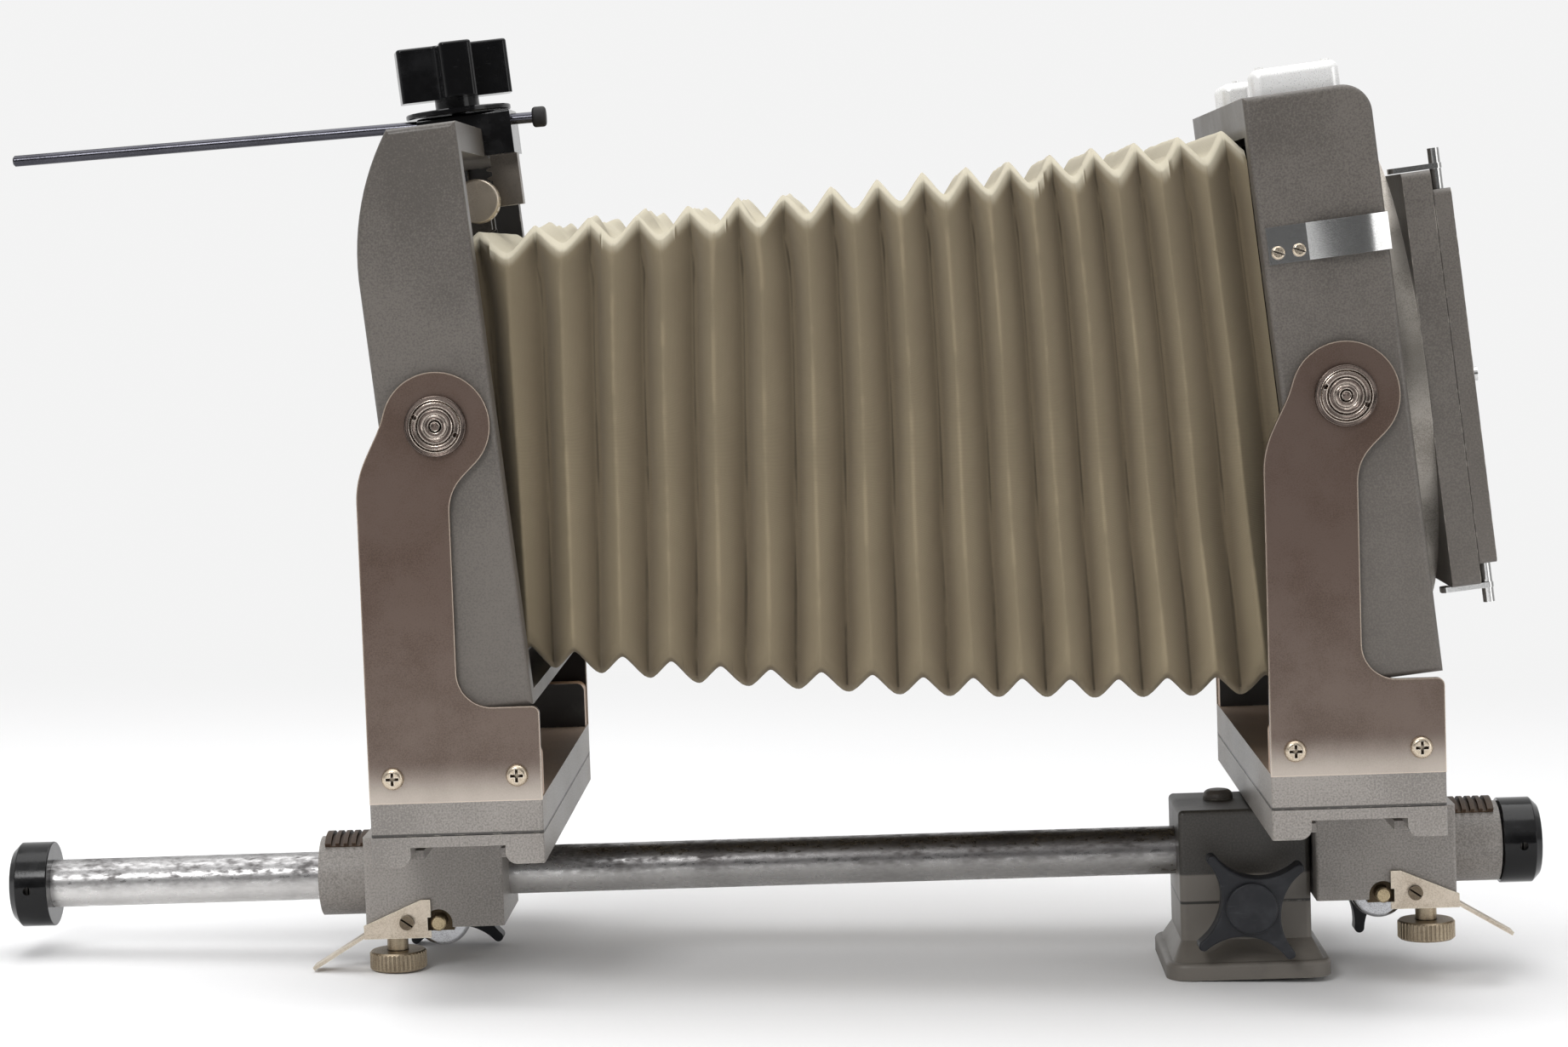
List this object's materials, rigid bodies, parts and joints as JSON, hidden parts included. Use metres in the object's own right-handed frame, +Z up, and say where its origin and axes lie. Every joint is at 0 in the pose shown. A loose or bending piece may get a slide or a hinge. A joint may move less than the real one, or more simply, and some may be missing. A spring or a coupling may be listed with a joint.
{
  "type": "view camera",
  "caption": "Monorail view camera: tilting front and rear standards on sliding carriages, joined by a pleated bellows, with a revolving spring back.",
  "frame": {"origin": "centre of the tripod foot's bottom face, on the tripod socket's axis", "axes": "+X along the rail towards the back, +Y from the release levers' side to the focus knobs' side, +Z up"},
  "size_m": [0.5586, 0.1968, 0.3458],
  "materials": {
    "gray_casting": "hammered gray-green paint, satin",
    "dark_casting": "dark olive-gray paint, satin",
    "satin_aluminium": "satin, bare",
    "rail_metal": "scuffed satin",
    "satin_nickel": "satin nickel",
    "chrome": "polished",
    "brass": "satin",
    "black_plastic": "gloss",
    "slate_plastic": "satin",
    "brown_plastic": "matte",
    "bellows_cloth": "matte coated cloth",
    "glass": "ground on one side",
    "rubber": "matte"
  },
  "bodies": {
    "tripod_block": {"tripod_foot": "dark_casting", "rail_clamp": "dark_casting", "block_top_bolt": "chrome"},
    "clamp_knob": {"clamp_star_knob": "slate_plastic", "clamp_stud": "chrome"},
    "rail": {"rail_tube": "rail_metal", "rail_cap_front": "black_plastic", "rail_cap_rear": "black_plastic", "cap_set_screws": "chrome"},
    "front_carriage": {"front_carriage_block": "gray_casting", "front_thumb_pad": "brown_plastic", "front_shaft_bearings": "brass", "front_lever_pivot_screw": "chrome"},
    "front_drive": {"front_focus_shaft": "brass", "front_drive_disc": "chrome", "front_focus_knob": "slate_plastic"},
    "front_release": {"front_release_lever": "satin_nickel"},
    "front_tension": {"front_tension_screw": "brass"},
    "front_shift": {"front_shift_plate": "gray_casting", "front_swing_nut": "satin_aluminium"},
    "front_yoke": {"front_yoke_base": "gray_casting", "front_yoke_plates": "satin_nickel", "front_yoke_screws": "brass"},
    "rear_carriage": {"rear_carriage_block": "gray_casting", "rear_thumb_pad": "brown_plastic", "rear_shaft_bearings": "brass", "rear_lever_pivot_screw": "chrome"},
    "rear_drive": {"rear_focus_shaft": "brass", "rear_drive_disc": "chrome", "rear_focus_knob": "slate_plastic"},
    "rear_release": {"rear_release_lever": "satin_nickel"},
    "rear_tension": {"rear_tension_screw": "brass"},
    "rear_shift": {"rear_shift_plate": "gray_casting", "rear_swing_nut": "satin_aluminium"},
    "rear_yoke": {"rear_yoke_base": "gray_casting", "rear_yoke_plates": "satin_nickel", "rear_yoke_screws": "brass"},
    "front_standard": {"front_frame": "gray_casting", "front_tilt_pivots": "chrome", "rise_rack": "brass", "top_clamp_block": "satin_aluminium", "bellows": "bellows_cloth"},
    "top_clamp_knob": {"top_knob": "black_plastic"},
    "rod": {"support_rod": "chrome", "rod_cap": "rubber"},
    "lens_carrier": {"lens_panel": "gray_casting", "lens_board": "gray_casting"},
    "pinion": {"rise_pinion": "brass"},
    "rear_standard": {"rear_frame": "gray_casting", "rear_tilt_pivots": "chrome", "level_housings": "chrome", "level_vials": "glass", "side_clip": "chrome", "clip_screws": "brass"},
    "revolving_back": {"revolving_ring": "satin_aluminium", "back_panel": "gray_casting"},
    "glass_back": {"glass_frame": "gray_casting", "ground_glass": "glass", "spring_arms": "chrome", "back_springs": "chrome"}
  },
  "joints": [
    {"name": "clamp_knob_turn", "type": "hinge", "parent": "tripod_block", "child": "clamp_knob", "pos_m": [0, -0.034, 0.0275], "axis": [0, 1, 0], "continuous": true},
    {"name": "rail_slide", "type": "slide", "parent": "tripod_block", "child": "rail", "axis": [1, 0, 0], "range_m": [0, 0.11]},
    {"name": "front_focus", "type": "slide", "parent": "rail", "child": "front_carriage", "axis": [1, 0, 0], "range_m": [-0.09, 0.07], "deforming": ["bellows"]},
    {"name": "front_drive_turn", "type": "hinge", "parent": "front_carriage", "child": "front_drive", "pos_m": [-0.2907, 0, 0.0286], "axis": [0, 1, 0], "range_deg": [-874, 1124]},
    {"name": "front_release_turn", "type": "hinge", "parent": "front_carriage", "child": "front_release", "pos_m": [-0.3019, -0.0308, 0.0294], "axis": [0, 1, 0], "range_deg": [-4, 3]},
    {"name": "front_tension_turn", "type": "hinge", "parent": "front_release", "child": "front_tension", "pos_m": [-0.3067, -0.0235, 0.0148], "axis": [0, 0, 1], "continuous": true},
    {"name": "front_shift", "type": "slide", "parent": "front_carriage", "child": "front_shift", "axis": [0, 1, 0], "range_m": [-0.025, 0.025]},
    {"name": "front_swing", "type": "hinge", "parent": "front_shift", "child": "front_yoke", "pos_m": [-0.27425, 0, 0.0709], "axis": [0, 0, 1], "range_deg": [-15, 15]},
    {"name": "front_tilt", "type": "hinge", "parent": "front_yoke", "child": "front_standard", "pos_m": [-0.27575, 0, 0.2105], "axis": [0, 1, 0], "range_deg": [-15, 15]},
    {"name": "rear_focus", "type": "slide", "parent": "rail", "child": "rear_carriage", "axis": [1, 0, 0], "range_m": [-0.0008, 0.0004]},
    {"name": "rear_drive_turn", "type": "hinge", "parent": "rear_carriage", "child": "rear_drive", "pos_m": [0.0482, 0, 0.0286], "axis": [0, 1, 0], "range_deg": [-7, 12]},
    {"name": "rear_release_turn", "type": "hinge", "parent": "rear_carriage", "child": "rear_release", "pos_m": [0.0594, -0.0308, 0.0294], "axis": [0, 1, 0], "range_deg": [-3, 4]},
    {"name": "rear_tension_turn", "type": "hinge", "parent": "rear_release", "child": "rear_tension", "pos_m": [0.0642, -0.0235, 0.0148], "axis": [0, 0, 1], "continuous": true},
    {"name": "rear_shift", "type": "slide", "parent": "rear_carriage", "child": "rear_shift", "axis": [0, 1, 0], "range_m": [-0.025, 0.025]},
    {"name": "rear_swing", "type": "hinge", "parent": "rear_shift", "child": "rear_yoke", "pos_m": [0.03175, 0, 0.0709], "axis": [0, 0, 1], "range_deg": [-15, 15]},
    {"name": "rear_tilt", "type": "hinge", "parent": "rear_yoke", "child": "rear_standard", "pos_m": [0.03025, 0, 0.2105], "axis": [0, 1, 0], "range_deg": [-15, 15]},
    {"name": "top_knob_turn", "type": "hinge", "parent": "front_standard", "child": "top_clamp_knob", "pos_m": [-0.27496, 0, 0.32105], "axis": [-0.0924, 0, 0.9957], "continuous": true},
    {"name": "rod_slide", "type": "slide", "parent": "front_standard", "child": "rod", "axis": [0.9988, 0, 0.048], "range_m": [-0.006, 0.06]},
    {"name": "lens_rise", "type": "slide", "parent": "front_standard", "child": "lens_carrier", "axis": [-0.0924, 0, 0.9957], "range_m": [-0.004, 0.007]},
    {"name": "rise_pinion_turn", "type": "hinge", "parent": "lens_carrier", "child": "pinion", "pos_m": [-0.26789, 0, 0.28705], "axis": [0, 1, 0], "range_deg": [-60, 95]},
    {"name": "back_revolve", "type": "hinge", "parent": "rear_standard", "child": "revolving_back", "pos_m": [0.05144, 0, 0.21269], "axis": [0.9947, 0, 0.1028], "range_deg": [0, 90]},
    {"name": "glass_open", "type": "slide", "parent": "revolving_back", "child": "glass_back", "axis": [0.9947, 0, 0.1028], "range_m": [0, 0.012], "stiffness_N_per_m": 800, "springref_m": -0.005}
  ],
  "couplings": [
    {"joint": "front_drive_turn", "follows": "front_focus", "rad_per_m": -217.39},
    {"joint": "rear_drive_turn", "follows": "rear_focus", "rad_per_m": -217.39},
    {"joint": "rise_pinion_turn", "follows": "lens_rise", "rad_per_m": 222.22}
  ]
}
